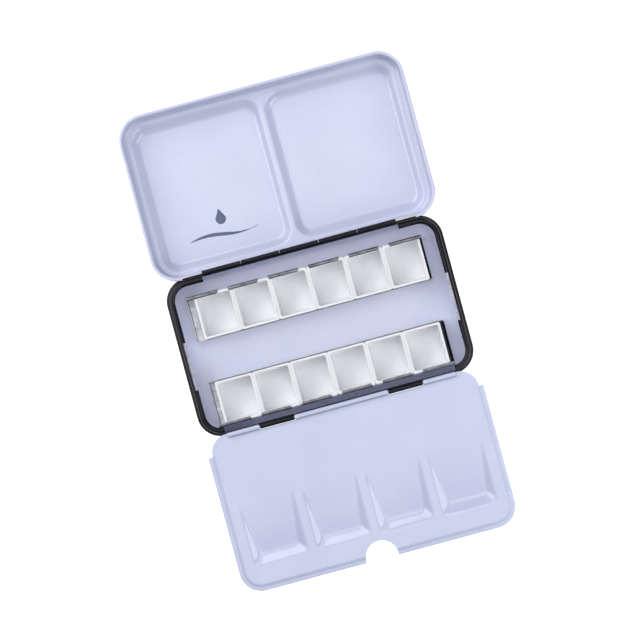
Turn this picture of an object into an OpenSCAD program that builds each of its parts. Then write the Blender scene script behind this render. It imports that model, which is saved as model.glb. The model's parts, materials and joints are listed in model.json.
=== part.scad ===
// Hinged watercolour tin with two racks of half pans, a fold-out palette flap
// and a lid with two mixing wells, drawn fully open.
// X runs along the tin, Y runs from the flap in front to the lid behind, Z is up.
// The origin is the centre of the base's underside.  Sizes are in millimetres.

/* [Sheet metal] */
// Thickness of the tinplate of the tin, lid and flap
sheet_t = 0.35; // [0.3:0.05:0.4]
// Height of both hinge axes above the table
hinge_z = 11.5; // [11.4:0.1:12.5]
// Outer radius of the rolled hinge barrels
barrel_r = 1.05; // [1:0.01:1.1]
// Radius of the two hinge wires
pin_r = 0.62; // [0.5:0.02:0.64]

/* [Base] */
// Length of the base along X
base_l = 120.4; // [120:0.2:122]
// Depth of the base along Y
base_w = 68.7; // [68:0.1:70]
// Outer corner radius of the base
base_r = 10; // [9:0.5:10]
// Radius where the base's wall turns into its floor
base_cove = 3.8; // [2:0.1:4]
// How far the neck steps in from the wall
neck_step = 1.2; // [1.15:0.05:1.4]
// Radius of the rolled rim on the neck
curl_r = 1.2; // [0.9:0.1:1.3]
// Length of the catch ledge in the middle of each short side
catch_l = 20.6; // [10:0.2:26]

/* [Lid] */
// Length of the lid across its walls
lid_l = 121.8; // [121:0.1:122.5]
// Depth of the lid across its walls
lid_w = 70.1; // [70:0.1:71]
// Outer corner radius of the lid's wall
lid_r = 10; // [9.5:0.5:10]
// Radius of the bead rolled outwards round the lid's edge
bead_r = 0.75; // [0.6:0.05:0.8]
// Depth that the mixing wells are pressed out of the lid
lid_well_d = 2.8; // [1.5:0.1:3.5]
// Width of the crest between the two mixing wells
lid_ridge = 1; // [0.6:0.1:3]

/* [Palette flap] */
// Reach of the flap from its hinge axis to its front edge
flap_reach = 67.7; // [66:0.1:67.7]
// Width of the flap across its turned edges
flap_l = 120.5; // [119:0.1:120.5]
// Deepest point of each slanted well
flap_well_d = 2.2; // [1.8:0.1:4]
// Width of each slanted well at its top
flap_well_l = 23.6; // [18:0.2:24]
// Distance between the slanted wells, centre to centre
flap_well_pitch = 27.5; // [26:0.1:28]
// Radius of the thumb notch in the front edge
notch_r = 6.9; // [5:0.1:8]

/* [Half pans] */
// Length of a half pan along X
pan_l = 16.25; // [15.5:0.05:16.3]
// Depth of a half pan along Y
pan_w = 18.6; // [18:0.1:18.7]
// Height of a half pan
pan_h = 10.2; // [8:0.1:10.4]
// Thickness of a half pan's rim
pan_wall = 0.95; // [0.7:0.05:1.2]

/* [Racks] */
// Thickness of the racks' tinplate
rack_t = 0.3; // [0.2:0.05:0.3]
// Length of each rack
rack_l = 103.2; // [102:0.2:104]
// Height of the spring tabs beside the pans
tab_z = 10.7; // [8:0.1:11]

/* [Hidden] */
$fn = 48;
PANS_PER_ROW = 6;

overlap = 0.05;          // how far joined shapes run into each other
hinge_y = base_w / 2;    // both axes lie over the base's long walls
bore_r = pin_r + 0.06;   // running clearance in the moving barrels
knuckle_gap = 0.3;       // from one barrel to the next along the axis
swing_gap = 0.2;         // from a barrel to a sheet that turns round it

// Base, by height
shoulder_z = hinge_z - 1.35;
rim_z = hinge_z + 0.55;
raw_edge_z = hinge_z + 0.2;
neck_r = base_r - neck_step;
catch_y = -2.5;
catch_w = 1.25;
catch_drop = 0.75;

// Hinges, by the places of their barrels along X
back_breaks = [-42.4, -25.4, -8.5, 8.5, 25.4, 42.4];
front_breaks = [-49.9, -35.6, -20.4, 20.4, 35.6, 49.9];

// Lid, which lies behind the base when it is open
lid_gap = 0.35;
lid_y = hinge_y + lid_gap + lid_w / 2;
lid_edge_z = hinge_z + 0.4;
lid_cove = 2;
lid_well_out_x = lid_l / 2 - 3.1;
lid_well_y0 = hinge_y + 2.45;
lid_well_y1 = hinge_y + lid_gap + lid_w - 2.65;
lid_well_r = 7.5;
lid_well_slope = 4;

// Palette flap, whose sheet leaves the underside of its barrels
flap_z = hinge_z - barrel_r + sheet_t;
flap_r = 9.5;
flap_ear_l = 116.4;
flap_ear_r = 8;
flap_ear_s0 = -0.7;
flap_ear_s1 = 7.4;
joggle_in = 2.9;
joggle_out = 1.6;
joggle_d = 0.9;
lip_r = 0.9;
lip_d = 2.1;
well_s0 = 28;
well_s_deep = 52.4;
well_s1 = 56.8;
well_side = 3.4;
notch_s = flap_reach - 1.2;
notch_flare = 0.8;

// Pans and racks, by the middle of each row
pan_pitch = 16.4;
pan_foot = 0.7;
pan_rim_h = 1.6;
pan_rim_step = 0.3;
row_y = [16.25, -20.65];
row_x = [0.75, -0.15];
rack_x = -0.6;
rack_y_in = 9.85;
rack_y_out = 9.75;
rack_wall_h = 3.4;
rack_end_h = 2.6;
rack_stop_h = 8.4;
rack_gap_l = 4.3;
rack_gap_pitch = 17.6;
rack_strip_h = 4.2;
rack_z = sheet_t;
pan_z = rack_z + rack_t + 0.02;

enamel = [0.83, 0.85, 0.94];
black = [0.09, 0.09, 0.11];
tin = [0.74, 0.75, 0.76];
plastic = [0.93, 0.94, 0.93];

// A rectangle with round corners, centred
module rounded_rect(l, w, r) {
    square([l - 2 * r, w], center = true);
    square([l, w - 2 * r], center = true);
    for (x = [-1, 1], y = [-1, 1])
        translate([x * (l / 2 - r), y * (w / 2 - r)])
            circle(r);
}

// A quarter of a ring in the quadrant that sx and sy point to
module quarter_band(r, t, sx, sy) {
    intersection() {
        difference() {
            circle(r);
            circle(r - t);
        }
        translate([sx > 0 ? 0 : -r, sy > 0 ? 0 : -r])
            square(r);
    }
}

// Sweeps a profile round a rounded rectangle.  The profile's x is measured
// outwards from the middle of a corner's arc, and its y is the height.
module swept(l, w, r) {
    for (side = [0, 1])
        rotate(180 * side) {
            translate([l / 2 - r, 0, 0])
                rotate([90, 0, 0])
                    linear_extrude(w - 2 * r, center = true)
                        children();
            translate([0, w / 2 - r, 0])
                rotate([90, 0, 90])
                    linear_extrude(l - 2 * r, center = true)
                        children();
            translate([l / 2 - r, w / 2 - r, 0])
                rotate_extrude(angle = 90)
                    children();
            translate([r - l / 2, w / 2 - r, 0])
                rotate(90)
                    rotate_extrude(angle = 90)
                        children();
        }
}

// A round bar along the hinge axis from x0 to x1
module axis_bar(r, x0, x1) {
    translate([x0, 0, 0])
        rotate([0, 90, 0])
            cylinder(r = r, h = x1 - x0);
}

// One barrel between two breaks, with half the gap left free at each end
module barrel(breaks, i) {
    axis_bar(barrel_r, breaks[i] + knuckle_gap / 2, breaks[i + 1] - knuckle_gap / 2);
}

// The bore of a whole hinge
module hinge_bore(breaks) {
    axis_bar(bore_r, breaks[0] - 1, breaks[5] + 1);
}

// Base: floor, cove, wall, shoulder and neck
module base_profile() {
    translate([base_r - base_cove, base_cove])
        quarter_band(base_cove, sheet_t, 1, -1);
    translate([base_r - sheet_t, base_cove])
        square([sheet_t, shoulder_z - base_cove]);
    translate([neck_r - sheet_t, shoulder_z - sheet_t])
        square([neck_step + sheet_t, sheet_t]);
    translate([neck_r - sheet_t, shoulder_z - sheet_t])
        square([sheet_t, rim_z - curl_r - shoulder_z + sheet_t]);
}

// Base: the rim, rolled inwards from the top of the neck
module curl_profile() {
    translate([neck_r - curl_r, rim_z - curl_r]) {
        quarter_band(curl_r, sheet_t, 1, 1);
        quarter_band(curl_r, sheet_t, -1, 1);
    }
}

// The rolled rim is left off along both hinges and halved at the catches
module base_rim() {
    back_l = 2 * back_breaks[5] + 0.4;
    front_l = base_l - 2 * base_r;
    cut_h = 2 * curl_r;
    difference() {
        swept(base_l, base_w, base_r)
            curl_profile();
        translate([-back_l / 2, 0, rim_z - curl_r])
            cube([back_l, base_w, cut_h]);
        translate([-front_l / 2, -base_w, rim_z - curl_r])
            cube([front_l, base_w, cut_h]);
        for (side = [-1, 1])
            translate([side * (base_l / 2 - neck_step - 1.5 * curl_r - overlap),
                       catch_y, rim_z])
                cube([curl_r, catch_l, 2 * cut_h], center = true);
    }
}

// A light ledge stands in for the rolled rim where the lid's catch snaps in
module catch_ledges() {
    x_out = base_l / 2 - neck_step - curl_r;
    for (side = [-1, 1])
        translate([0, catch_y, 0]) {
            translate([side * (x_out - catch_w / 2), 0, rim_z - catch_drop])
                cube([catch_w, catch_l, sheet_t], center = true);
            translate([side * x_out, 0, rim_z - (catch_drop + sheet_t) / 2])
                cube([sheet_t, catch_l, catch_drop], center = true);
        }
}

// The straight neck along a hinge, up to its raw edge
module hinge_wall(half_l, side) {
    translate([-half_l, side * (hinge_y - neck_step - sheet_t / 2) - sheet_t / 2,
               shoulder_z - sheet_t])
        cube([2 * half_l, sheet_t, raw_edge_z - shoulder_z + sheet_t]);
}

// The base's own barrels, each rolled from a leaf of the neck
module base_barrels(breaks, picks, side) {
    leaf_y0 = 0.6;
    leaf_y1 = neck_step + sheet_t;
    translate([0, side * hinge_y, hinge_z])
        difference() {
            for (i = picks) {
                barrel(breaks, i);
                x0 = breaks[i] + knuckle_gap / 2;
                x1 = breaks[i + 1] - knuckle_gap / 2;
                translate([x0, side > 0 ? -leaf_y1 : leaf_y0, shoulder_z - hinge_z - overlap])
                    cube([x1 - x0, leaf_y1 - leaf_y0, 0.35 + 1.35 + overlap]);
            }
            axis_bar(pin_r + 0.01, breaks[0] - 1, breaks[5] + 1);
        }
}

module base_tin() {
    color(enamel) {
        linear_extrude(sheet_t)
            rounded_rect(base_l - 2 * base_cove, base_w - 2 * base_cove, base_r - base_cove);
        swept(base_l, base_w, base_r)
            base_profile();
        base_rim();
        catch_ledges();
        hinge_wall(back_breaks[5] + 0.2, 1);
        hinge_wall(base_l / 2 - base_r, -1);
    }
    color(black) {
        base_barrels(back_breaks, [0, 2, 4], 1);
        base_barrels(front_breaks, [1, 3], -1);
    }
}

// Lid: wall and the cove below it
module lid_profile() {
    translate([lid_r - lid_cove, lid_well_d + lid_cove])
        quarter_band(lid_cove, sheet_t, 1, -1);
    translate([lid_r - sheet_t, lid_well_d + lid_cove])
        square([sheet_t, lid_edge_z - bead_r - lid_well_d - lid_cove]);
}

// Lid: the bead rolled outwards from the top of the wall
module bead_profile() {
    translate([lid_r - sheet_t + bead_r, lid_edge_z - bead_r]) {
        quarter_band(bead_r, sheet_t, 1, 1);
        quarter_band(bead_r, sheet_t, -1, 1);
    }
}

// Lid: the sloping side of a mixing well
module lid_well_profile() {
    polygon([[lid_well_r + overlap, lid_well_d],
             [lid_well_r + overlap, lid_well_d + sheet_t],
             [lid_well_r, lid_well_d + sheet_t],
             [lid_well_r - lid_well_slope, sheet_t],
             [lid_well_r - lid_well_slope - overlap, sheet_t],
             [lid_well_r - lid_well_slope - overlap, 0],
             [lid_well_r - lid_well_slope, 0],
             [lid_well_r, lid_well_d]]);
}

// Puts a shape at each mixing well's middle
module at_lid_wells() {
    for (side = [-1, 1])
        translate([side * (lid_well_out_x + lid_ridge / 2) / 2, (lid_well_y0 + lid_well_y1) / 2, 0])
            children();
}

module lid() {
    well_l = lid_well_out_x - lid_ridge / 2;
    well_w = lid_well_y1 - lid_well_y0;
    // the straight hinge side has no bead, and is cut low behind the base's barrels
    hinge_half = lid_l / 2 - lid_r;
    low_z = hinge_z - barrel_r - swing_gap;
    color(enamel) {
        difference() {
            union() {
                translate([0, lid_y, 0])
                    swept(lid_l, lid_w, lid_r)
                        lid_profile();
                difference() {
                    translate([0, lid_y, 0])
                        swept(lid_l, lid_w, lid_r)
                            bead_profile();
                    translate([-hinge_half, hinge_y - 3, lid_edge_z - 2])
                        cube([2 * hinge_half, 6, 4]);
                }
                for (side = [-1, 1])
                    translate([side * (hinge_half + back_breaks[5]) / 2,
                               hinge_y + lid_gap + sheet_t / 2, lid_edge_z / 2 + lid_cove])
                        cube([hinge_half - back_breaks[5] - knuckle_gap, sheet_t,
                              lid_edge_z - 2 * lid_cove], center = true);
            }
            for (i = [0, 2, 4])
                translate([back_breaks[i] - knuckle_gap, hinge_y - 1, low_z])
                    cube([back_breaks[i + 1] - back_breaks[i] + 2 * knuckle_gap, 3, 4]);
            translate([0, hinge_y, hinge_z])
                hinge_bore(back_breaks);
        }
        linear_extrude(sheet_t)
            at_lid_wells()
                rounded_rect(well_l - 2 * lid_well_slope, well_w - 2 * lid_well_slope,
                             lid_well_r - lid_well_slope);
        at_lid_wells()
            swept(well_l, well_w, lid_well_r)
                lid_well_profile();
        translate([0, 0, lid_well_d])
            linear_extrude(sheet_t)
                difference() {
                    translate([0, lid_y])
                        rounded_rect(lid_l - 2 * lid_cove, lid_w - 2 * lid_cove,
                                     lid_r - lid_cove);
                    at_lid_wells()
                        rounded_rect(well_l, well_w, lid_well_r);
                }
    }
    color(black)
        translate([0, hinge_y, hinge_z])
            difference() {
                for (i = [1, 3])
                    barrel(back_breaks, i);
                hinge_bore(back_breaks);
            }
}

// Flap: the joggled edge, with a lip turned down round it
module flap_edge_profile() {
    polygon([[flap_r - joggle_in - overlap, 0],
             [flap_r - joggle_in, 0],
             [flap_r - joggle_out, -joggle_d],
             [flap_r - lip_r, -joggle_d],
             [flap_r - lip_r, -joggle_d - sheet_t],
             [flap_r - joggle_out, -joggle_d - sheet_t],
             [flap_r - joggle_in, -sheet_t],
             [flap_r - joggle_in - overlap, -sheet_t]]);
    translate([flap_r - lip_r, -joggle_d - lip_r])
        quarter_band(lip_r, sheet_t, 1, 1);
    translate([flap_r - sheet_t, -lip_d])
        square([sheet_t, lip_d - joggle_d - lip_r]);
}

// Flap: the plan of the flat sheet, from the hinge side to the joggle
module flap_plan() {
    flat_l = flap_l - 2 * joggle_in;
    flat_r = flap_r - joggle_in;
    flat_s = flap_reach - joggle_in;
    difference() {
        union() {
            intersection() {
                translate([0, flap_ear_s0 + 3 * flap_ear_r / 2])
                    rounded_rect(flap_ear_l, 3 * flap_ear_r, flap_ear_r);
                translate([-flap_ear_l / 2, flap_ear_s0])
                    square([flap_ear_l, flap_ear_s1 - flap_ear_s0]);
            }
            translate([0, flat_s - 30])
                rounded_rect(flat_l, 60, flat_r);
        }
        // slots that clear the base's barrels
        for (side = [-1, 1])
            translate([side * (front_breaks[3] + front_breaks[4]) / 2, 0])
                square([front_breaks[4] - front_breaks[3] + knuckle_gap,
                        2 * (barrel_r + swing_gap)], center = true);
        // the sheet stops at the axis between the ears
        translate([-front_breaks[5], -2])
            square([2 * front_breaks[5], 2]);
    }
}

// Flap: the plan of the thumb notch, with its two ends rounded
module notch_plan() {
    edge_half = sqrt(notch_r * notch_r - pow(flap_reach - notch_s, 2));
    translate([0, notch_s])
        circle(notch_r);
    translate([0, flap_reach])
        square([2 * edge_half, 2 * notch_flare], center = true);
}

// Flap: a slanted well, deeper towards the front; grow makes its outside
module slanted_well(grow) {
    run = well_s_deep - well_s0;
    d = flap_well_d + grow;
    half = flap_well_l / 2 + grow;
    back_s = well_s0 - grow * run / flap_well_d;
    intersection() {
        rotate([90, 0, 90])
            linear_extrude(2 * half, center = true)
                polygon([[back_s, 0], [well_s_deep, -d], [well_s1 + grow, 0]]);
        translate([0, back_s + (well_s1 + grow - back_s) / 2, 0])
            rotate([90, 0, 0])
                linear_extrude(well_s1 + 2 * grow - back_s, center = true)
                    polygon([[-half, 0], [half, 0], [half - well_side, -d], [well_side - half, -d]]);
    }
}

// Puts a shape at the middle line of each slanted well
module at_flap_wells() {
    for (i = [-1.5 : 1 : 1.5])
        translate([i * flap_well_pitch, 0, 0])
            children();
}

module palette_flap() {
    color(enamel)
        translate([0, -hinge_y, 0])
            mirror([0, 1, 0]) {
                difference() {
                    union() {
                        translate([0, 0, flap_z - sheet_t])
                            linear_extrude(sheet_t)
                                flap_plan();
                        intersection() {
                            translate([0, flap_reach - 50, flap_z])
                                swept(flap_l, 100, flap_r)
                                    flap_edge_profile();
                            translate([-flap_l, flap_ear_s1, 0])
                                cube([2 * flap_l, 100, 2 * hinge_z]);
                        }
                        translate([0, 0, flap_z])
                            at_flap_wells()
                                slanted_well(sheet_t);
                    }
                    translate([0, 0, flap_z])
                        at_flap_wells()
                            slanted_well(0);
                    linear_extrude(2 * hinge_z)
                        notch_plan();
                }
                translate([0, 0, hinge_z])
                    difference() {
                        for (i = [0, 2, 4])
                            barrel(front_breaks, i);
                        hinge_bore(front_breaks);
                    }
            }
}

module hinge_pin(breaks, side) {
    end_gap = 0.3;
    color(tin)
        translate([0, side * hinge_y, hinge_z])
            axis_bar(pin_r, breaks[0] + end_gap, breaks[5] - end_gap);
}

// A folded channel: floor, low inner wall, a low end, an end as high as the pans'
// shoulders and an outer wall of spring tabs
module pan_rack(row) {
    side = row == 0 ? 1 : -1;
    color(tin)
        translate([rack_x, row_y[row], rack_z])
            mirror([0, side > 0 ? 0 : 1, 0])
                difference() {
                    union() {
                        translate([-rack_l / 2, -rack_y_in, 0])
                            cube([rack_l, rack_y_in + rack_y_out, rack_t]);
                        translate([-rack_l / 2, -rack_y_in, 0])
                            cube([rack_l, rack_t, rack_wall_h]);
                        translate([-rack_l / 2, -rack_y_in, 0])
                            cube([rack_t, rack_y_in + rack_y_out, rack_end_h]);
                        translate([rack_l / 2 - rack_t, -rack_y_in, 0])
                            cube([rack_t, rack_y_in + rack_y_out, rack_stop_h]);
                        translate([-rack_l / 2, rack_y_out - rack_t, 0])
                            cube([rack_l, rack_t, tab_z - rack_z]);
                    }
                    for (i = [-2 : 2])
                        translate([i * rack_gap_pitch - rack_gap_l / 2,
                                   rack_y_out - 2 * rack_t, rack_strip_h])
                            cube([rack_gap_l, 3 * rack_t, tab_z]);
                }
}

// A drafted cup: foot, walls that widen upwards and a thicker rim
module half_pan(n) {
    row = floor((n - 1) / PANS_PER_ROW);
    i = (n - 1) % PANS_PER_ROW;
    body_l = pan_l - 2 * pan_rim_step;
    body_w = pan_w - 2 * pan_rim_step;
    hollow_l = pan_l - 2 * pan_wall;
    hollow_w = pan_w - 2 * pan_wall;
    draft = 0.45;
    floor_t = 1;
    color(plastic)
        translate([row_x[row] + (i - (PANS_PER_ROW - 1) / 2) * pan_pitch, row_y[row], pan_z])
            difference() {
                union() {
                    tapered(body_l, body_w, pan_foot, draft, pan_h - pan_rim_h / 2);
                    translate([0, 0, pan_h - pan_rim_h])
                        linear_extrude(pan_rim_h)
                            rounded_rect(pan_l, pan_w, pan_foot + pan_rim_step);
                }
                translate([0, 0, floor_t])
                    tapered(hollow_l, hollow_w, pan_foot, 2 * draft, pan_h - floor_t + overlap);
            }
}

// A rounded block that is narrower at its foot than at its top by draft on each side
module tapered(l, w, r, draft, h) {
    skin = 0.01;
    hull() {
        linear_extrude(skin)
            rounded_rect(l - 2 * draft, w - 2 * draft, r, $fn = 16);
        translate([0, 0, h - skin])
            linear_extrude(skin)
                rounded_rect(l, w, r, $fn = 16);
    }
}

base_tin();
lid();
palette_flap();
hinge_pin(back_breaks, 1);  // back_hinge_pin
hinge_pin(front_breaks, -1);  // front_hinge_pin
pan_rack(0);  // pan_rack_back
pan_rack(1);  // pan_rack_front
for (n = [1 : 2 * PANS_PER_ROW])
    half_pan(n);
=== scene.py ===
import json
import math
import random

import bmesh
import bpy
from mathutils import Matrix, Vector


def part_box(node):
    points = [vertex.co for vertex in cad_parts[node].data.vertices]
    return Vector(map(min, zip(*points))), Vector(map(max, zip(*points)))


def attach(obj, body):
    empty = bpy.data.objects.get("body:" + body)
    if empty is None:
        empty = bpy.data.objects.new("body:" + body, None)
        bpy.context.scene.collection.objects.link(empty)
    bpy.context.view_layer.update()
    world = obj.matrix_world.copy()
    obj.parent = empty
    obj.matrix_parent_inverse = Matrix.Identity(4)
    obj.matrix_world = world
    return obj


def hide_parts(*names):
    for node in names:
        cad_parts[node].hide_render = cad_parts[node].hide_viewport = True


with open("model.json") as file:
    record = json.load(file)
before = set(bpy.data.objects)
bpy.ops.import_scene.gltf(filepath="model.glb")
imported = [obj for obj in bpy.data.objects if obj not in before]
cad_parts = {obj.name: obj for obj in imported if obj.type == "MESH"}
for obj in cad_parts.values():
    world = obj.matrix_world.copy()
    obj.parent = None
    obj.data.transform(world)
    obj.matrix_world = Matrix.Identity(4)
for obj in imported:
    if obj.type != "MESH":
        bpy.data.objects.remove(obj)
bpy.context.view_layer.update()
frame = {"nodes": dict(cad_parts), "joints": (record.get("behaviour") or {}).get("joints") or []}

# Lengths are in millimetres until a mesh is made, and MM turns them into metres.
MM = 0.001
random.seed(7)


# ---------------------------------------------------------------- sizes from the frame

def node_box(name):
    """Lowest and highest corner of a CAD node, in millimetres."""
    lo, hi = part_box(name)
    return lo / MM, hi / MM


def joint_pos(name):
    for joint in frame["joints"]:
        if joint["name"] == name:
            return Vector(joint["pos_m"]) / MM
    raise KeyError(name)


_, BASE_HI = node_box("base_tin")
_, LID_HI = node_box("lid")
FLAP_LO, FLAP_HI = node_box("palette_flap")
_, PIN_HI = node_box("back_hinge_pin")
_, FRONT_PIN_HI = node_box("front_hinge_pin")
AXIS = joint_pos("lid_hinge")
HINGE_Y, HINGE_Z = AXIS.y, AXIS.z

SHEET = 0.35                       # tinplate of the tin, lid and flap
BARREL_R = BASE_HI.z - HINGE_Z
BARREL_GAP = 0.3                   # along the axis, from one barrel to the next
SWING_GAP = 0.2                    # from a barrel to a sheet that turns round it
PIN_SHORT = 0.3                    # the pins end just inside the end barrels
BACK_HALF = PIN_HI.x + PIN_SHORT
FRONT_HALF = FRONT_PIN_HI.x + PIN_SHORT
BACK_BREAKS = [BACK_HALF * k for k in (-1, -0.599, -0.2005, 0.2005, 0.599, 1)]
FRONT_BREAKS = [FRONT_HALF * k for k in (-1, -0.7134, -0.4088, 0.4088, 0.7134, 1)]
BASE_BACK_PICKS, LID_PICKS = (0, 2, 4), (1, 3)      # whose barrel lies in which interval
FLAP_PICKS, BASE_FRONT_PICKS = (0, 2, 4), (1, 3)

BASE_X, BASE_Y = BASE_HI.x, HINGE_Y
BASE_R = 10                        # corner, seen from above
BASE_COVE = 3.8                    # where the wall turns into the floor
NECK_IN = 1.2                      # how far the neck stands in from the wall
NECK_FACE = NECK_IN + SHEET        # from the base's side to the neck's inner face
CURL_R = 1.2                       # rolled rim on the neck
SHOULDER_Z = HINGE_Z - 1.35
RIM_Z = HINGE_Z + 0.55
HINGE_WALL_Z = HINGE_Z + 0.2       # raw edge of the neck along both hinges
RIM_BREAK = 0.2                    # from the end barrels to the rolled rim
CATCH_Y = (-12.8, 7.8)

BEAD_R = 0.75
BEAD_OUT = 2 * BEAD_R - SHEET
LID_X = LID_HI.x - BEAD_OUT
LID_GAP = 0.35                     # from the hinge axis to the lid's wall
LID_Y0 = HINGE_Y + LID_GAP
LID_Y1 = LID_HI.y - BEAD_OUT
LID_R = 10                         # corner, seen from above
LID_COVE = 2                       # where the wall turns into the ledge
LID_EDGE_Z = HINGE_Z + 0.4
LID_WELL_DEPTH = 2.8
LID_LEDGE_Z = LID_WELL_DEPTH + SHEET

FLAP_X = FLAP_HI.x
FLAP_REACH = -HINGE_Y - FLAP_LO.y
FLAP_Z = HINGE_Z - BARREL_R + SHEET
FLAP_R = 9.5
EAR_X, EAR_R, EAR_BACK, EAR_FRONT = 58.2, 8.0, -0.7, 7.4
JOGGLE = 0.9                       # how far the edge steps down from the flat
LIP_R = 0.9                        # round of the turned-down edge
LIP_DEPTH = 2.1
FLAT_IN = 3.6                      # from the flap's edge to its flat middle
NOTCH_R = 6.9
NOTCH_S = FLAP_REACH - 1.2         # s is the distance from the front hinge's axis
WELL_PITCH = 27.5
WELL_DEPTH = 2.2

SIDE_BAND = 5                      # what counts as lying along a side of the base
MIN_CORNER_R = 0.5                 # a ring's corner never gets tighter than this
NUDGE = 0.01                       # keeps two neighbouring points from falling together


# ---------------------------------------------------------------- mesh tools

def add_row(bm, points):
    return [bm.verts.new(Vector(p) * MM) for p in points]


def bridge(bm, row_a, row_b, finish=0, closed=True, keep=None):
    """Quads between two rows; seen from above, a runs inside b and both turn left."""
    n = len(row_a)
    for i in range(n if closed else n - 1):
        j = (i + 1) % n
        if keep and not keep((row_b[i].co + row_b[j].co) / (2 * MM)):
            continue
        face = bm.faces.new((row_a[i], row_b[i], row_b[j], row_a[j]))
        face.material_index = finish


def loft(bm, rows, finish=0, closed=True, keep=None):
    for row_a, row_b in zip(rows, rows[1:]):
        bridge(bm, row_a, row_b, finish, closed, keep)


def cap(bm, row, finish=0):
    bm.faces.new(row).material_index = finish


def fill_flat(bm, loops, finish=0):
    """Fills the level area between an outer loop and the loops inside it, facing up."""
    edges = []
    for loop in loops:
        for a, b in zip(loop, loop[1:] + loop[:1]):
            edges.append(bm.edges.get((a, b)) or bm.edges.new((a, b)))
    made = bmesh.ops.triangle_fill(bm, use_beauty=True, use_dissolve=False, edges=edges)
    for face in made["geom"]:
        if isinstance(face, bmesh.types.BMFace):
            face.material_index = finish
            face.normal_update()
            if face.normal.z < 0:
                face.normal_flip()


def ring(x0, x1, y0, y1, r, z, stops_x=(), stops_y=(), arc=12):
    """Points round a rounded rectangle, turning left from its right side."""
    def corner(cx, cy, start):
        return [(cx + r * math.cos(start + math.pi / 2 * i / arc),
                 cy + r * math.sin(start + math.pi / 2 * i / arc), z) for i in range(arc + 1)]
    right = [(x1, y, z) for y in sorted(stops_y)]
    left = [(x0, y, z) for y in sorted(stops_y, reverse=True)]
    near = [(x, y0, z) for x in sorted(stops_x)]
    far = [(x, y1, z) for x in sorted(stops_x, reverse=True)]
    return (right + corner(x1 - r, y1 - r, 0) + far + corner(x0 + r, y1 - r, math.pi / 2)
            + left + corner(x0 + r, y0 + r, math.pi) + near + corner(x1 - r, y0 + r, -math.pi / 2))


def arc_points(cx, cz, r, start, stop, steps):
    """Points of an arc in a profile; angles in degrees, 0 along +x and 90 upwards."""
    angles = [math.radians(start + (stop - start) * i / steps) for i in range(steps + 1)]
    return [(cx + r * math.cos(a), cz + r * math.sin(a)) for a in angles]


def quarter_points(inset, z, r, angles, outward=1):
    """Points of an arc in a profile of insets; angle 0 lies level, 90 straight up or down."""
    return [(inset + outward * r * math.cos(math.radians(a)), z + r * math.sin(math.radians(a)))
            for a in angles]


def finish_mesh(name, bm, materials, body, stands_for=None, smooth_angle=35):
    mesh = bpy.data.meshes.new(name)
    bm.to_mesh(mesh)
    bm.free()
    for material in materials:
        mesh.materials.append(material)
    for polygon in mesh.polygons:
        polygon.use_smooth = True
    mesh.set_sharp_from_angle(angle=math.radians(smooth_angle))
    piece = bpy.data.objects.new(name, mesh)
    bpy.context.collection.objects.link(piece)
    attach(piece, body)
    if stands_for:
        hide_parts(stands_for)
    return piece


def thicken(piece, thickness, back_finish, edge_finish, smooth_angle=35):
    """Gives a sheet its thickness behind the face that was drawn."""
    solid = piece.modifiers.new("thickness", "SOLIDIFY")
    solid.thickness = thickness * MM
    solid.offset = -1
    solid.use_even_offset = True
    solid.use_quality_normals = True
    solid.material_offset = back_finish
    solid.material_offset_rim = edge_finish
    seen = piece.evaluated_get(bpy.context.evaluated_depsgraph_get())
    sheet = bpy.data.meshes.new_from_object(seen)
    piece.modifiers.clear()
    piece.data = sheet
    sheet.set_sharp_from_angle(angle=math.radians(smooth_angle))
    return piece


def soften(piece, width, segments=2, angle=40):
    bevel = piece.modifiers.new("edges", "BEVEL")
    bevel.width = width * MM
    bevel.segments = segments
    bevel.limit_method = "ANGLE"
    bevel.angle_limit = math.radians(angle)
    bevel.harden_normals = True
    return piece


# ---------------------------------------------------------------- materials

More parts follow.
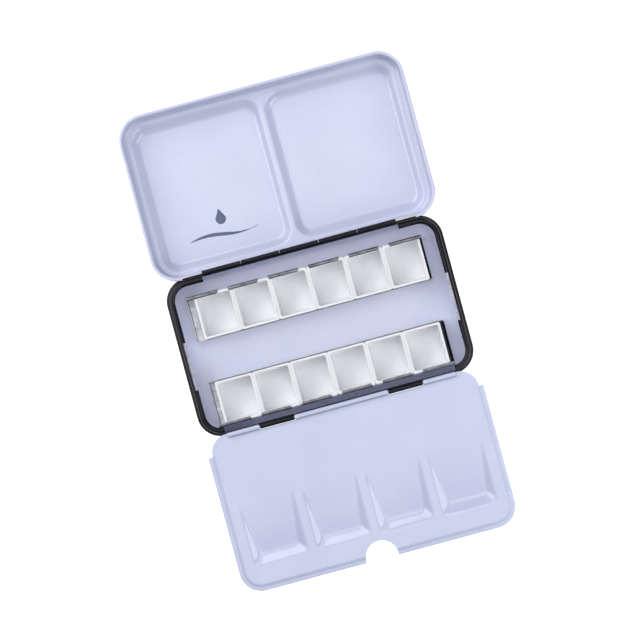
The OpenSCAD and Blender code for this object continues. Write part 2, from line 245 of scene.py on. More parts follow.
class Nodes:
    """Short ways to add and link shader nodes in one material."""

    def __init__(self, name):
        self.material = bpy.data.materials.new(name)
        self.material.use_nodes = True
        self.tree = self.material.node_tree
        self.shader = self.tree.nodes["Principled BSDF"]
        self.coords = self.add("ShaderNodeTexCoord").outputs["Object"]

    def add(self, kind, **values):
        node = self.tree.nodes.new(kind)
        for key, value in values.items():
            setattr(node, key, value)
        return node

    def link(self, a, b):
        self.tree.links.new(a, b)

    def set(self, **values):
        for key, value in values.items():
            self.shader.inputs[key.replace("_", " ")].default_value = value

    def noise(self, scale, detail=4.0, roughness=0.5, stretch=(1, 1, 1)):
        mapping = self.add("ShaderNodeMapping")
        mapping.inputs["Scale"].default_value = stretch
        node = self.add("ShaderNodeTexNoise")
        node.inputs["Scale"].default_value = scale
        node.inputs["Detail"].default_value = detail
        node.inputs["Roughness"].default_value = roughness
        self.link(self.coords, mapping.inputs["Vector"])
        self.link(mapping.outputs["Vector"], node.inputs["Vector"])
        return node.outputs["Fac"]

    def ramp(self, value, low, high, low_color, high_color):
        node = self.add("ShaderNodeValToRGB")
        node.color_ramp.elements[0].position = low
        node.color_ramp.elements[1].position = high
        node.color_ramp.elements[0].color = low_color
        node.color_ramp.elements[1].color = high_color
        self.link(value, node.inputs["Fac"])
        return node.outputs["Color"]

    def spread(self, value, low, high, out_low, out_high):
        node = self.add("ShaderNodeMapRange")
        for key, number in zip(("From Min", "From Max", "To Min", "To Max"),
                               (low, high, out_low, out_high)):
            node.inputs[key].default_value = number
        self.link(value, node.inputs["Value"])
        return node.outputs["Result"]

    def multiply(self, a, b, amount=1.0):
        node = self.add("ShaderNodeMix", data_type="RGBA", blend_type="MULTIPLY")
        node.inputs["Factor"].default_value = amount
        self.link(a, node.inputs["A"])
        self.link(b, node.inputs["B"])
        return node.outputs["Result"]

    def bump(self, height, distance, strength=1.0, below=None):
        node = self.add("ShaderNodeBump")
        node.inputs["Distance"].default_value = distance * MM
        node.inputs["Strength"].default_value = strength
        self.link(height, node.inputs["Height"])
        if below:
            self.link(below, node.inputs["Normal"])
        self.link(node.outputs["Normal"], self.shader.inputs["Normal"])
        return node.outputs["Normal"]


def srgb(red, green, blue):
    """A colour given as seen on a screen, 0 to 255, turned into linear light."""
    def linear(v):
        v /= 255
        return v / 12.92 if v <= 0.04045 else ((v + 0.055) / 1.055) ** 2.4
    return (linear(red), linear(green), linear(blue), 1.0)


def enamel(name, dark, light, grain_color, rough, coat, ior=1.5):
    """Stoved enamel: a faint drift in tone, a fine grain and an orange-peel gloss."""
    n = Nodes(name)
    drift = n.ramp(n.noise(45, 3), 0.35, 0.65, dark, light)
    grain = n.ramp(n.noise(1600, 3), 0.3, 0.6, grain_color, (1, 1, 1, 1))
    n.link(n.multiply(drift, grain, 0.3), n.shader.inputs["Base Color"])
    n.link(n.spread(n.noise(90, 1), 0.0, 1.0, rough - 0.03, rough + 0.03),
           n.shader.inputs["Roughness"])
    waves = n.bump(n.noise(60, 2), 0.05, 0.3)
    n.bump(n.noise(520, 2), 0.004, 0.45, below=waves)
    n.set(Coat_Weight=coat, Coat_Roughness=0.06, Coat_IOR=1.6, IOR=ior)
    return n.material


def tinplate(name, dark, light, rough_low, rough_high):
    """Bare tinplate: a crystalline mottle crossed by faint rolling lines and rubbed spots."""
    n = Nodes(name)
    mottle = n.ramp(n.noise(420, 6, 0.65), 0.35, 0.68, dark, light)
    rolling = n.ramp(n.noise(900, 3, 0.6, stretch=(0.04, 1, 1)), 0.3, 0.7,
                     (0.82, 0.82, 0.83, 1), (1, 1, 1, 1))
    n.link(n.multiply(mottle, rolling), n.shader.inputs["Base Color"])
    n.link(n.spread(n.noise(260, 5, 0.6), 0.3, 0.7, rough_low, rough_high),
           n.shader.inputs["Roughness"])
    n.bump(n.noise(700, 3), 0.006, 0.6)
    n.set(Metallic=1.0)
    return n.material


def moulded_plastic(name):
    """Moulded polystyrene: nearly white, slightly see-through, with flow marks and scuffs."""
    n = Nodes(name)
    drift = n.ramp(n.noise(120, 4), 0.3, 0.7, srgb(237, 239, 242), srgb(242, 244, 247))
    scuffs = n.ramp(n.noise(1500, 2, 0.5, stretch=(1, 0.15, 1)), 0.24, 0.3,
                    (0.86, 0.86, 0.84, 1), (1, 1, 1, 1))
    n.link(n.multiply(drift, scuffs, 0.5), n.shader.inputs["Base Color"])
    n.link(n.spread(n.noise(300, 5), 0.3, 0.7, 0.3, 0.45), n.shader.inputs["Roughness"])
    n.bump(n.noise(380, 3), 0.008, 0.5)
    n.set(Subsurface_Weight=0.15, Subsurface_Radius=(0.0012, 0.0013, 0.0011),
          Subsurface_Scale=1.0, IOR=1.55)
    return n.material


def printing_ink(name):
    """Slate-blue printing ink, a little thin in places."""
    n = Nodes(name)
    n.link(n.ramp(n.noise(700, 4), 0.3, 0.75, srgb(72, 86, 116), srgb(104, 116, 146)),
           n.shader.inputs["Base Color"])
    n.link(n.spread(n.noise(300, 4), 0.3, 0.7, 0.35, 0.5), n.shader.inputs["Roughness"])
    n.bump(n.noise(600, 2), 0.003, 0.4)
    return n.material


# The lid, base and flap share one white enamel; the base's copy is lighter, painted light against
# the shade inside the base, and the flap's copy is darker, painted shade.
LID_WHITE = enamel("lid_enamel", srgb(208, 213, 240), srgb(212, 217, 243),
                   srgb(236, 237, 244), 0.25, 1.0)
BASE_WHITE_PAINTED_LIGHT = enamel("base_enamel_painted_light", srgb(217, 222, 249), srgb(222, 227, 252),
                    srgb(238, 239, 246), 0.25, 1.0)
FLAP_WHITE_PAINTED_SHADE = enamel("flap_enamel_painted_shade", srgb(200, 208, 238), srgb(205, 213, 241),
                    srgb(234, 236, 244), 0.25, 1.0)
BLACK = enamel("black_enamel", srgb(13, 13, 24), srgb(17, 17, 30),
               srgb(180, 180, 190), 0.16, 0.0, ior=1.38)
CATCH = tinplate("catch_tinplate", srgb(172, 177, 192), srgb(200, 204, 216), 0.3, 0.45)
TIN = tinplate("rack_tinplate", srgb(196, 199, 206), srgb(232, 234, 240), 0.3, 0.5)
# Painted shade: a darker copy of the rack's tinplate for the tabs' rolled tops.
HOOK_SHADE_TIN = tinplate("tab_tinplate_painted_shade", srgb(112, 113, 120), srgb(150, 152, 160), 0.18, 0.3)
# Painted shade: near-black tinplate for the inside of the racks' right ends and the floor beside
# them.
SHADE_TIN = tinplate("end_tinplate_painted_shade", srgb(48, 48, 58), srgb(70, 70, 82), 0.12, 0.2)
WIRE = tinplate("hinge_wire", srgb(150, 150, 155), srgb(190, 190, 194), 0.2, 0.35)
PLASTIC = moulded_plastic("pan_plastic")
INK = printing_ink("printing_ink")


# ---------------------------------------------------------------- hinge barrels

def rolled_section(leaf, start, stop):
    """Outline across a barrel rolled from a leaf; leaf points lead in to the start angle."""
    mid = BARREL_R - SHEET / 2
    line = list(leaf) + arc_points(0, 0, mid, start, stop, 30)
    outer, inner = [], []
    for i, (y, z) in enumerate(line):
        a, b = line[max(i - 1, 0)], line[min(i + 1, len(line) - 1)]
        dy, dz = b[0] - a[0], b[1] - a[1]
        size = math.hypot(dy, dz)
        ny, nz = -dz / size * SHEET / 2, dy / size * SHEET / 2
        outer.append((y + ny, z + nz))
        inner.append((y - ny, z - nz))
    return outer + inner[::-1]


def barrels(name, breaks, picks, section, axis_y, flip, material, body):
    """A row of rolled barrels along one hinge."""
    bm = bmesh.new()
    outline = [(axis_y + flip * y, HINGE_Z + z) for y, z in section]
    for i in picks:
        x0, x1 = breaks[i] + BARREL_GAP / 2, breaks[i + 1] - BARREL_GAP / 2
        ends = [add_row(bm, [(x, y, z) for y, z in outline]) for x in (x0, x1)]
        bridge(bm, *ends)
        bm.faces.new(ends[0])
        bm.faces.new(ends[1][::-1])
    bmesh.ops.recalc_face_normals(bm, faces=bm.faces)
    piece = finish_mesh(name, bm, [material], body, smooth_angle=30)
    return soften(piece, 0.05)


# ---------------------------------------------------------------- base

def base_ring(bm, inset, z):
    """A row round the base, with points where the rolled rim starts and stops."""
    half_back, half_front = BACK_HALF + RIM_BREAK, BASE_X - BASE_R - NUDGE
    stops = (-half_front, -half_back, half_back, half_front)
    return add_row(bm, ring(-BASE_X + inset, BASE_X - inset, -BASE_Y + inset, BASE_Y - inset,
                            max(BASE_R - inset, MIN_CORNER_R), z,
                            stops_x=stops, stops_y=CATCH_Y))


def along_hinge(p):
    half = BACK_HALF + RIM_BREAK if p.y > 0 else BASE_X - BASE_R
    return abs(p.x) < half and abs(p.y) > BASE_Y - SIDE_BAND


def at_catch(p):
    return abs(p.x) > BASE_X - SIDE_BAND and CATCH_Y[0] < p.y < CATCH_Y[1]


def base_profile():
    """Insets and heights from the floor, through the cove and the shoulder, to the neck."""
    shoulder_r, neck_r = 0.4, 0.3
    top = SHOULDER_Z - SHEET
    cove = [(BASE_COVE + x, z) for x, z in
            arc_points(0, BASE_COVE, BASE_COVE - SHEET, 270, 180, 10)]
    return ([(BASE_COVE + 1.6, SHEET), (BASE_COVE + 0.5, SHEET)] + cove
            + [(SHEET, top - 2.6), (SHEET, top - shoulder_r - 0.05)]
            + arc_points(SHEET + shoulder_r, top - shoulder_r, shoulder_r, 180, 90, 4)
            + arc_points(NECK_FACE - neck_r, top + neck_r, neck_r, 270, 360, 4)
            + [(NECK_FACE, RIM_Z - CURL_R)])


def curl_rows(bm, start, stop, steps):
    """Rows of the rolled rim between two angles, without the first one."""
    arc = arc_points(NECK_IN + CURL_R, RIM_Z - CURL_R, CURL_R - SHEET, start, stop, steps)
    return [base_ring(bm, inset, z) for inset, z in arc[1:]]


def base_shell():
    """One sheet: floor, cove, wall, shoulder, neck and rolled rim, drawn on its inner face."""
    bm = bmesh.new()
    rows = [base_ring(bm, inset, z) for inset, z in base_profile()]
    cap(bm, rows[0])
    loft(bm, rows)
    raw_edge = [base_ring(bm, NECK_FACE, z) for z in (HINGE_WALL_Z - 0.1, HINGE_WALL_Z)]
    loft(bm, [rows[-1]] + raw_edge, keep=along_hinge)
    outer = curl_rows(bm, 180, 90, 7)
    loft(bm, [rows[-1]] + outer, keep=lambda p: not along_hinge(p))
    inner = curl_rows(bm, 90, -35, 9)
    loft(bm, [outer[-1]] + inner, keep=lambda p: not along_hinge(p) and not at_catch(p))
    catch_ledges(bm)
    piece = finish_mesh("base_shell", bm, [BASE_WHITE_PAINTED_LIGHT, BLACK, CATCH, CATCH], "base",
                        stands_for="base_tin")
    return thicken(piece, SHEET, 1, 1)


def catch_ledges(bm):
    """The light ledges that stand in for the rolled rim where the lid snaps shut."""
    crest_in, z = NECK_IN + CURL_R, RIM_Z - SHEET
    steps = [(0.02, 0.02), (0.08, 0.32), (0.25, 0.42), (0.8, 0.44), (1.05, 0.44),
             (1.2, 0.52), (1.25, 0.75)]      # inwards from the rim's crest, and down
    end_gap, end_strip = 0.12, 0.4
    y0, y1 = CATCH_Y[0] + end_gap, CATCH_Y[1] - end_gap
    ys = (y0, y0 + end_strip, y1 - end_strip, y1)
    for side in (-1, 1):
        rows = [add_row(bm, [(side * (BASE_X - crest_in - inwards), y, z - down) for y in ys])
                for inwards, down in steps]
        loft(bm, rows[::-side], finish=2, closed=False)
    for face in bm.faces:
        if face.material_index == 2:
            face.normal_update()
            if face.normal.z < -0.01:
                face.normal_flip()


# ---------------------------------------------------------------- lid

def lid_ring(bm, inset, z):
    """A row round the lid, with points where its barrels and its bead start and stop."""
    half = LID_X - LID_R - NUDGE
    return add_row(bm, ring(-LID_X + inset, LID_X - inset, LID_Y0 + inset, LID_Y1 - inset,
                            max(LID_R - inset, MIN_CORNER_R), z,
                            stops_x=BACK_BREAKS + [-half, half]))


def on_hinge_side(p):
    return p.y < LID_Y0 + SIDE_BAND and abs(p.x) < LID_X - LID_R


def behind_base_barrel(p):
    return any(BACK_BREAKS[i] < p.x < BACK_BREAKS[i + 1] for i in BASE_BACK_PICKS)


def pressed(t, foot=0.42, crest=0.3):
    """Height of a pressed slope, 0 to 1, with a round foot and a round crest."""
    slope = 1 / (1 - foot / 2 - crest / 2)
    if t < foot:
        return slope * t * t / (2 * foot)
    if t > 1 - crest:
        return 1 - slope * (1 - t) ** 2 / (2 * crest)
    return slope * (t - foot / 2)


def mixing_well(bm, side):
    """A rounded well pressed into the lid; returns its crest."""
    ridge, outer = 0.5, LID_X - 3.1
    near, far = HINGE_Y + 2.45, LID_Y1 - 2.65
    run_ridge, run_outer, run_near, run_far = 3.9, 3.8, 4.8, 5.2
    crest_r, foot_r = 7.5, 3.7
    strip_run, strip_r = 0.35, 0.6          # a strip of level floor inside the foot
    rows = []
    steps = 16
    for i in range(-1, steps + 1):
        t = max(i, 0) / steps
        back = 1 - t + (strip_run if i < 0 else 0)
        x_in, x_out = ridge + run_ridge * back, outer - run_outer * back
        x0, x1 = (x_in, x_out) if side > 0 else (-x_out, -x_in)
        r = crest_r + (foot_r - crest_r) * min(back, 1) - (strip_r if i < 0 else 0)
        z = SHEET + LID_WELL_DEPTH * pressed(t)
        rows.append(add_row(bm, ring(x0, x1, near + run_near * back, far - run_far * back, r, z)))
    cap(bm, rows[0])
    loft(bm, rows)
    return rows[-1]


def lid_shell():
    """One sheet: two wells, the ledge round them, the wall and the bead, drawn inside."""
    bm = bmesh.new()
    cove = [(LID_COVE + x, z) for x, z in
            arc_points(0, LID_LEDGE_Z + LID_COVE - SHEET, LID_COVE - SHEET, 270, 180, 8)]
    ledge = lid_ring(bm, *cove[0])
    wall = [ledge] + [lid_ring(bm, x, z) for x, z in cove[1:]]
    wall.append(lid_ring(bm, SHEET, HINGE_Z - BARREL_R - BARREL_GAP))
    loft(bm, wall)
    fill_flat(bm, [ledge, mixing_well(bm, -1), mixing_well(bm, 1)])
    upper = lid_ring(bm, SHEET, LID_EDGE_Z - BEAD_R)
    bridge(bm, wall[-1], upper, keep=lambda p: not (on_hinge_side(p) and behind_base_barrel(p)))
    bead = [lid_ring(bm, x, z) for x, z in
            arc_points(SHEET - BEAD_R, LID_EDGE_Z - BEAD_R, BEAD_R, 0, 225, 16)[1:]]
    loft(bm, [upper] + bead, keep=lambda p: not on_hinge_side(p))
    piece = finish_mesh("lid_shell", bm, [LID_WHITE, BLACK], "lid", stands_for="lid")
    return thicken(piece, SHEET, 1, 0)


# ---------------------------------------------------------------- palette flap

def smooth_min(a, b, k):
    h = max(k - abs(a - b), 0) / k
    return min(a, b) - h * h * k / 4


def well_depth(x, s):
    """Depth of a slanted well at x from its middle line and s from the hinge axis."""
    half, side_run = 11.8, 3.5
    back, trough, front = 28.0, 52.4, 56.8
    soft_corner, soft_edge = 1.3, 0.35
    floor = (s - back) * WELL_DEPTH / (trough - back)
    sides = (half - abs(x)) * WELL_DEPTH / side_run
    end = (front - s) * WELL_DEPTH / (front - trough)
    depth = smooth_min(smooth_min(sides, end, soft_corner), floor, soft_edge)
    return -smooth_min(-depth, 0, soft_edge)


def slanted_well(bm, cx):
    """A patch of sheet with one slanted well in it; returns its level border."""
    half_x, s0, s1 = 12.8, 26.8, 58.0
    nx, ns = 50, 52
    crowding = 0.8                          # below 1, rows gather towards the deep end
    xs = [cx - half_x + 2 * half_x * i / nx for i in range(nx + 1)]
    ss = [s0 + (s1 - s0) * (j / ns) ** crowding for j in range(ns + 1)]
    def height(x, s):
        inside = s0 < s < s1 and abs(x - cx) < half_x - NUDGE
        return FLAP_Z - (well_depth(x - cx, s) if inside else 0)
    grid = [add_row(bm, [(x, -HINGE_Y - s, height(x, s)) for x in xs]) for s in ss]
    for low, high in zip(grid, grid[1:]):
        for i in range(nx):
            bm.faces.new((high[i], high[i + 1], low[i + 1], low[i]))
    left = [row[0] for row in grid]
    right = [row[-1] for row in grid]
    return grid[0][:-1] + right[:-1] + grid[-1][:0:-1] + left[:0:-1]


def notch_x(s):
    """Half-width of the thumb notch at s, flared a little at its mouth."""
    flare_s, flare = FLAP_REACH - 0.8, 0.6
    half = math.sqrt(max(NOTCH_R ** 2 - (s - NOTCH_S) ** 2, 0))
    return half + flare * max(s - flare_s, 0) ** 2


def flap_side(inset, side):
    """Points along one half of the flap's turned edge, from the ear to the notch."""
    x1, s1, r = FLAP_X - inset, FLAP_REACH - inset, max(FLAP_R - inset, MIN_CORNER_R)
    ear_strip, notch_strip = 0.4, 1.0
    points = [(x1, EAR_FRONT), (x1, EAR_FRONT + ear_strip)]
    points += arc_points(x1 - r, s1 - r, r, 0, 90, 14)
    points += [(notch_x(s1) + notch_strip, s1), (notch_x(s1), s1)]
    return [(side * x, s) for x, s in points]


def flap_edge(bm, side):
    """The joggle and the turned lip of one half; returns the row that meets the flat."""
    joggle = [(FLAT_IN, 0), (3.2, 0), (2.95, -0.02), (2.7, -0.12), (2.45, -0.35),
              (2.1, -0.68), (1.85, -0.84), (1.6, -JOGGLE), (1.2, -JOGGLE)]
    lip = arc_points(LIP_R, -JOGGLE - LIP_R, LIP_R, 90, 180, 6) + [(0, -LIP_DEPTH)]
    rows = []
    for inset, z in joggle + lip:
        outline = [(x, -HINGE_Y - s, FLAP_Z + z) for x, s in flap_side(inset, side)]
        rows.append(add_row(bm, outline))
    for row_a, row_b in zip(rows, rows[1:]):
        for i in range(len(row_a) - 1):
            quad = (row_a[i], row_a[i + 1], row_b[i + 1], row_b[i])
            bm.faces.new(quad if side > 0 else quad[::-1])
    return rows[0]


def hinge_border():
    """The sheet's hinge side from the right ear to the left ear, as x and s."""
    slot_s = BARREL_R + SWING_GAP
    slot_out = FRONT_BREAKS[4] + BARREL_GAP / 2
    slot_in = FRONT_BREAKS[3] - BARREL_GAP / 2
    half = ([(EAR_X, EAR_FRONT)]
            + arc_points(EAR_X - EAR_R, EAR_BACK + EAR_R, EAR_R, 0, -90, 12)
            + [(FRONT_HALF, EAR_BACK), (FRONT_HALF, 0), (slot_out, 0), (slot_out, slot_s),
               (slot_in, slot_s), (slot_in, 0)])
    return half + [(-x, s) for x, s in reversed(half)]


def notch_border(inset, steps=20):
    """The thumb notch from its right end to its left end, as x and s."""
    s_end = FLAP_REACH - inset
    a_end = math.asin((s_end - NOTCH_S) / NOTCH_R)
    turns = [a_end - (math.pi + 2 * a_end) * i / steps for i in range(1, steps)]
    return [(NOTCH_R * math.cos(a), NOTCH_S + NOTCH_R * math.sin(a)) for a in turns]


def flap_sheet():
    """One sheet: the flat with its ears and notch, four slanted wells and the turned edge."""
    bm = bmesh.new()
    right, left = flap_edge(bm, 1), flap_edge(bm, -1)
    def flat(points):
        return add_row(bm, [(x, -HINGE_Y - s, FLAP_Z) for x, s in points])
    outline = right + flat(notch_border(FLAT_IN)) + left[::-1] + flat(hinge_border()[::-1])
    wells = [slanted_well(bm, (i - 1.5) * WELL_PITCH) for i in range(4)]
    fill_flat(bm, [outline] + wells)
    piece = finish_mesh("palette_sheet", bm, [FLAP_WHITE_PAINTED_SHADE], "flap", stands_for="palette_flap",
                        smooth_angle=50)
    return thicken(piece, SHEET, 0, 0, smooth_angle=50)


# ---------------------------------------------------------------- pan racks

RACK_T = 0.3
FOLD_R = 0.45                      # inside of the folds between the floor and the walls
INNER_WALL_H, STRIP_H = 3.4, 4.2   # the tabs stand on the strip
LOW_END_H, HIGH_END_H = 2.6, 8.4
TAB_GAP, TAB_PITCH = 4.3, 17.6
# The second finish is painted shade on the tabs' rolled tops; the third is painted shade inside
# the rack's right end.
PLAIN, SHADED_HOOK, PAINTED_SHADE = 0, 1, 2        # finishes of a rack, by their place in its materials


def rack_section(y_low, y_tab, z):
    """Across a rack, inside: the low wall, the floor and the strip under the tabs."""
    near, far, foot = y_low + RACK_T, y_tab - RACK_T, z + RACK_T + FOLD_R
    return ([(near, z + INNER_WALL_H)]
            + arc_points(near + FOLD_R, foot, FOLD_R, 180, 270, 4)
            + arc_points(far - FOLD_R, foot, FOLD_R, 270, 360, 4)
            + [(far, z + STRIP_H)])


def rack_channel(bm, section, stops, sign):
    """Floor and long walls of a rack; the floor's last stretch carries painted shade, near-black
    tinplate by the right end.
    """
    rows = [add_row(bm, [(x, sign * y, z) for x in stops]) for y, z in section]
    for row_a, row_b in zip(rows, rows[1:]):
        level = abs(row_a[0].co.z - row_b[0].co.z) < NUDGE * MM
        for i in range(len(stops) - 1):
            quad = (row_a[i], row_a[i + 1], row_b[i + 1], row_b[i])
            face = bm.faces.new(quad if sign > 0 else quad[::-1])
            face.material_index = PAINTED_SHADE if level and i == len(stops) - 2 else PLAIN


def spring_tab(bm, a, b, y, z0, z1, sign):
    """One tab: upright, then rolled inwards over the rims of the pans."""
    upright = [(y, z0, 0), (y, z0 + 0.3, 0), (y, z1 - 0.8, 0)]
    hook = [(0.12, -0.45, 0.02), (0.18, -0.1, 0.05), (0.1, 0.18, 0.1), (-0.1, 0.33, 0.15),
            (-0.4, 0.38, 0.2), (-0.75, 0.34, 0.3), (-1.0, 0.24, 0.45)]
    rows = []
    for py, pz, cut in upright + [(y + dy, z1 + dz, cut) for dy, dz, cut in hook]:
        xs = [a + cut, a + cut + 0.3, (a + b) / 2, b - cut - 0.3, b - cut]
        rows.append(add_row(bm, [(x, sign * py, pz) for x in xs]))
    for k, (row_a, row_b) in enumerate(zip(rows, rows[1:])):
        for i in range(len(row_a) - 1):
            quad = (row_a[i], row_a[i + 1], row_b[i + 1], row_b[i])
            face = bm.faces.new(quad if sign > 0 else quad[::-1])
            # The rolled tops get the darker tinplate, painted shade.
            face.material_index = SHADED_HOOK if k + 1 >= len(upright) else PLAIN


def end_wall(bm, x, y0, y1, z0, z1, sign, inward):
    """One end of a rack, bent up from its floor; inward is the way to its middle along X."""
    corner_gap = 0.5
    ys = [y0 + corner_gap, y1 - corner_gap]
    line = [(x + inward * 0.4, z0), (x + inward * 0.12, z0 + 0.1), (x, z0 + 0.4), (x, z1)]
    rows = [add_row(bm, [(px, sign * py, pz) for py in ys]) for px, pz in line]
    for row_a, row_b in zip(rows, rows[1:]):
        face = bm.faces.new((row_a[0], row_a[1], row_b[1], row_b[0]))
        # The right end's inner face gets the painted shade.
        face.material_index = PLAIN if inward > 0 else PAINTED_SHADE
        face.normal_update()
        if face.normal.x * inward < 0:
            face.normal_flip()


def keep_painted_shade_inside(piece):
    """The painted shade stays on the faces that look into the rack."""
    for polygon in piece.data.polygons:
        outside = polygon.normal.x > 0.3 or polygon.normal.z < -0.3
        if polygon.material_index == PAINTED_SHADE and outside:
            polygon.material_index = PLAIN


def rack(name):
    """A folded channel with two ends and with spring tabs that hook over the pans' rims."""
    lo, hi = node_box(name)
    sign = 1 if lo.y + hi.y > 0 else -1
    y_low, y_tab = (lo.y, hi.y) if sign > 0 else (-hi.y, -lo.y)
    x0, x1, z0 = lo.x, hi.x, lo.z
    gap_mids = [(x0 + x1) / 2 + k * TAB_PITCH for k in range(-2, 3)]
    gaps = [(x - TAB_GAP / 2, x + TAB_GAP / 2) for x in gap_mids]
    stops = sorted([x0, x1] + [x for gap in gaps for x in gap])
    bm = bmesh.new()
    rack_channel(bm, rack_section(y_low, y_tab, z0), stops, sign)
    near, far = y_low + RACK_T, y_tab - RACK_T
    for left, right in zip(stops[0::2], stops[1::2]):
        spring_tab(bm, left, right, far, z0 + STRIP_H, hi.z, sign)
    end_wall(bm, x0 + RACK_T, near, far, z0 + RACK_T, z0 + LOW_END_H, sign, 1)
    end_wall(bm, x1 - RACK_T, near, far, z0 + RACK_T, z0 + HIGH_END_H, sign, -1)
    piece = finish_mesh(name + "_sheet", bm, [TIN, HOOK_SHADE_TIN, SHADE_TIN], "base", stands_for=name,
                        smooth_angle=60)
    keep_painted_shade_inside(thicken(piece, RACK_T, 0, 0, smooth_angle=40))


# ---------------------------------------------------------------- half pans

PAN_LIP = 0.95                     # width of the rim's top
PAN_EDGE = 0.1                     # round of the rim's two edges
PAN_EXTRA = 0.1                    # wider than the CAD pan, so that neighbours look joined


def pan_outside(height):
    """Insets and heights up the outside, from the foot to the rim's top."""
    rim_h, step, draft = 1.6, 0.3, 0.45
    rim_z, foot = height - rim_h, step + draft
    return ([(foot + 0.8, 0), (foot + 0.3, 0), (foot + 0.08, 0.08), (foot, 0.3),
             (step + 0.02, rim_z - 0.05), (step - 0.05, rim_z + 0.02),
             (0.08, rim_z + 0.05), (0, rim_z + 0.16), (0, height - PAN_EDGE)]
            + quarter_points(PAN_EDGE, height - PAN_EDGE, PAN_EDGE, (30, 60, 90), -1))


def pan_inside(height):
    """Insets and heights down the inside, from the rim's top to the middle of the floor."""
    floor_z, fillet, draft = 1.0, 0.8, 0.5
    def wall(z):
        return PAN_LIP + draft * (height - z) / (height - floor_z)
    foot_z = floor_z + fillet
    middle = wall(foot_z) + fillet
    return ([(PAN_LIP - PAN_EDGE, height)]
            + quarter_points(PAN_LIP - PAN_EDGE, height - PAN_EDGE, PAN_EDGE, (60, 30, 0))
            + [(wall(z), z) for z in (height - 1.2, height / 2, foot_z)]
            + quarter_points(middle, foot_z, fillet, (-20, -40, -60, -75, -90), -1)
            + [(middle + 0.8, floor_z)])


def pan_mesh(size):
    """A drafted cup about its own middle, with a round-edged rim and a filleted floor."""
    half_x, half_y = size.x / 2, size.y / 2
    bm = bmesh.new()
    rows = []
    for inset, z in pan_outside(size.z) + pan_inside(size.z):
        on_rim = inset < PAN_LIP - PAN_EDGE
        r = max(0.7 - inset * 0.3, 0.4) if on_rim else 0.9 + (inset - PAN_LIP) * 0.4
        rows.append(add_row(bm, ring(-half_x + inset, half_x - inset,
                                     -half_y + inset, half_y - inset, r, z, arc=6)))
    for row_a, row_b in zip(rows, rows[1:]):
        for i in range(len(row_a)):
            j = (i + 1) % len(row_a)
            bm.faces.new((row_a[i], row_a[j], row_b[j], row_b[i]))
    bm.faces.new(rows[0][::-1])
    bm.faces.new(rows[-1])
    return bm


def half_pan(n):
    """One pan, a hair out of line with its neighbours as loose pans are."""
    name = f"half_pan_{n}"
    lo, hi = node_box(name)
    bm = pan_mesh(hi - lo + Vector((PAN_EXTRA, 0, 0)))
    mid = (lo + hi) / 2
    turn = math.radians(random.uniform(-0.06, 0.06))
    middle = Matrix.Translation(Vector((mid.x, mid.y, lo.z)) * MM)
    bm.transform(middle @ Matrix.Rotation(turn, 4, "Z"))
    return finish_mesh(name + "_cup", bm, [PLASTIC], name, stands_for=name,
                       smooth_angle=50)


# ---------------------------------------------------------------- print on the lid

def brush_stroke(bm, points, widths, z):
    """A flat stroke of ink along a line of points, with its width at each point."""
    left, right = [], []
    for i, (x, y) in enumerate(points):
        a, b = points[max(i - 1, 0)], points[min(i + 1, len(points) - 1)]
        dx, dy = b[0] - a[0], b[1] - a[1]
        size = math.hypot(dx, dy)
        w = widths[i] / 2
        left.append((x - dy / size * w, y + dx / size * w, z))
        right.append((x + dy / size * w, y - dx / size * w, z))
    row_l, row_r = add_row(bm, left), add_row(bm, right)
    for i in range(len(points) - 1):
        bm.faces.new((row_r[i], row_r[i + 1], row_l[i + 1], row_l[i]))


def drop_outline(cx, cy, z, steps=28):
    """A drop of water with its point away from the hinge."""
    half_x, half_y, pull, pinch = 2.3, 2.6, 0.55, 0.45
    points = []
    for i in range(steps):
        a = 2 * math.pi * i / steps
        up = max(math.sin(a), 0)
        points.append((cx + half_x * math.cos(a) * (1 - pinch * up),
                       cy + half_y * math.sin(a) * (1 + pull * up ** 3), z))
    return points


def lid_print():
    """A plain mark printed in the left well: a drop above one waving brush stroke."""
    bm = bmesh.new()
    z = SHEET + 0.012
    cx, cy = -29.0, HINGE_Y + 18.5
    drop_up, stroke_down, stroke_l, wave = 2.5, 4.4, 30, 0.9
    bm.faces.new(add_row(bm, drop_outline(cx, cy + drop_up, z)))
    count = 40
    line, widths = [], []
    for i in range(count + 1):
        t = i / count
        line.append((cx + stroke_l * (t - 0.5),
                     cy - stroke_down + wave * math.sin(t * 2 * math.pi)))
        widths.append(0.25 + 1.5 * math.sin(math.pi * min(t * 1.15, 1)) * (1 - 0.35 * t))
    brush_stroke(bm, line, widths, z)
    piece = finish_mesh("lid_print", bm, [INK], "lid")
    return thicken(piece, 0.008, 0, 0)


# ---------------------------------------------------------------- studio

CAMERA_TURN = math.radians(15.1)   # the picture's upright is turned from Y by this
CAMERA_DISTANCE = 1.0
CAMERA_SENSOR = 36
CAMERA_AIM = Vector((0.6, 2.4, HINGE_Z))
VIEW_WIDTH = 269.7                 # what the picture's width spans at the rims' height
FLOOR_HALF = 2.0
FLOOR_DROP = 0.0002                # keeps the floor clear of the tin's underside


def build_camera():
    """The camera looks straight down on the open tin, as the photo does."""
    data = bpy.data.cameras.new("camera")
    data.sensor_width = CAMERA_SENSOR
    data.lens = CAMERA_SENSOR * CAMERA_DISTANCE / (VIEW_WIDTH * MM)
    camera = bpy.data.objects.new("camera", data)
    bpy.context.collection.objects.link(camera)
    back = Vector((0, 0, 1))
    up = Vector((math.sin(CAMERA_TURN), math.cos(CAMERA_TURN), 0))
    turn = Matrix((up.cross(back), up, back)).transposed().to_4x4()
    camera.matrix_world = Matrix.Translation(CAMERA_AIM * MM + back * CAMERA_DISTANCE) @ turn
    bpy.context.scene.camera = camera


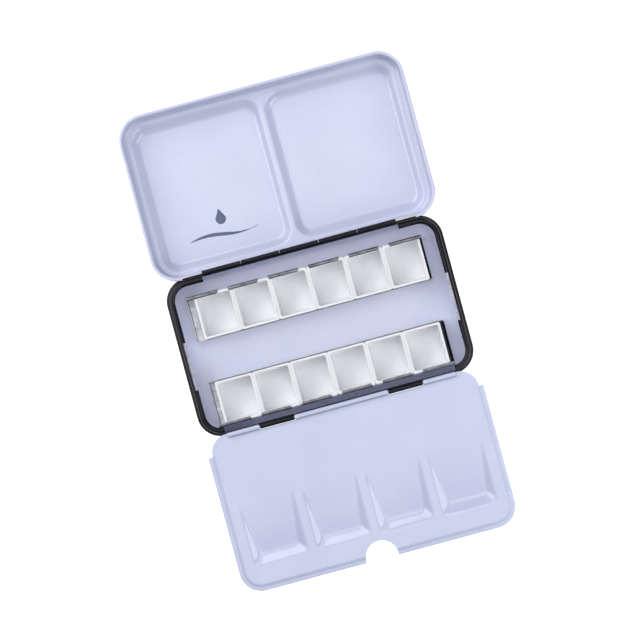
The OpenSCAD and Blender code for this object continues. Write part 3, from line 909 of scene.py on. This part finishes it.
def softbox(name, azimuth, elevation, distance, size_x, size_y, watts, color):
    """A rectangular area light that faces the tin; azimuth turns left from +X."""
    data = bpy.data.lights.new(name, "AREA")
    data.shape = "RECTANGLE"
    data.size, data.size_y = size_x, size_y
    data.energy = watts
    data.color = color
    light = bpy.data.objects.new(name, data)
    bpy.context.collection.objects.link(light)
    a, e = math.radians(azimuth), math.radians(elevation)
    way = Vector((math.cos(a) * math.cos(e), math.sin(a) * math.cos(e), math.sin(e)))
    light.location = way * distance
    light.rotation_euler = way.to_track_quat("Z", "Y").to_euler()


def build_floor():
    """A pale floor that glows a little, so that it stays nearly white."""
    n = Nodes("studio_floor")
    n.link(n.ramp(n.noise(6, 3), 0.3, 0.7, (0.9, 0.9, 0.9, 1), (0.93, 0.93, 0.93, 1)),
           n.shader.inputs["Base Color"])
    n.set(Roughness=0.8, Emission_Color=(1, 1, 1, 1), Emission_Strength=0.75)
    bm = bmesh.new()
    bmesh.ops.create_grid(bm, x_segments=4, y_segments=4, size=FLOOR_HALF)
    mesh = bpy.data.meshes.new("studio_floor")
    bm.to_mesh(mesh)
    bm.free()
    mesh.materials.append(n.material)
    floor = bpy.data.objects.new("studio_floor", mesh)
    bpy.context.collection.objects.link(floor)
    floor.location.z = -FLOOR_DROP


def build_world():
    world = bpy.data.worlds.new("studio")
    world.use_nodes = True
    background = world.node_tree.nodes["Background"]
    background.inputs["Color"].default_value = (0.95, 0.97, 1.0, 1)
    background.inputs["Strength"].default_value = 0.15
    bpy.context.scene.world = world


def build_studio():
    build_camera()
    build_floor()
    build_world()
    softbox("key", 138, 42, 0.70, 0.95, 0.46, 3.6, (1.0, 0.99, 0.98))
    softbox("spark", -17, 32, 0.45, 0.2, 0.2, 0.3, (0.98, 0.99, 1.0))
    softbox("fill", -54, 38, 0.8, 0.66, 0.44, 1.95, (0.98, 0.99, 1.0))
    softbox("top", 60, 64, 1.1, 0.4, 0.4, 0.7, (1.0, 1.0, 1.0))
    softbox("overhead", 90, 87, 1.15, 0.9, 0.9, 2.7, (1.0, 1.0, 1.0))
    bpy.context.scene.view_settings.view_transform = "Standard"


# ---------------------------------------------------------------- assembly

def repaint(node, material):
    """Gives a CAD node that stays in view its finished material."""
    mesh = frame["nodes"][node].data
    mesh.materials.clear()
    mesh.materials.append(material)


def build_tin():
    base_shell()
    lid_shell()
    flap_sheet()
    base_leaf = [(-1.02, -1.35), (-1.0, -0.9), (-0.93, -0.4)]
    lid_leaf = [(0.53, -1.5), (0.6, -1.0), (0.8, -0.4)]
    flap_leaf = [(1.2, -BARREL_R + SHEET / 2), (0.5, -BARREL_R + SHEET / 2)]
    base_roll = rolled_section(base_leaf, 180, -125)
    lid_roll = rolled_section(lid_leaf, 0, 235)
    flap_roll = rolled_section(flap_leaf, 270, 20)
    barrels("base_back_barrels", BACK_BREAKS, BASE_BACK_PICKS, base_roll, HINGE_Y, 1,
            BLACK, "base")
    barrels("base_front_barrels", FRONT_BREAKS, BASE_FRONT_PICKS, base_roll, -HINGE_Y, -1,
            BLACK, "base")
    barrels("lid_barrels", BACK_BREAKS, LID_PICKS, lid_roll, HINGE_Y, 1, BLACK, "lid")
    barrels("flap_barrels", FRONT_BREAKS, FLAP_PICKS, flap_roll, -HINGE_Y, -1,
            FLAP_WHITE_PAINTED_SHADE, "flap")
    for pin in ("back_hinge_pin", "front_hinge_pin"):
        repaint(pin, WIRE)


def build_contents():
    rack("pan_rack_back")
    rack("pan_rack_front")
    for n in range(1, 13):
        half_pan(n)
    lid_print()


build_tin()
build_contents()
build_studio()
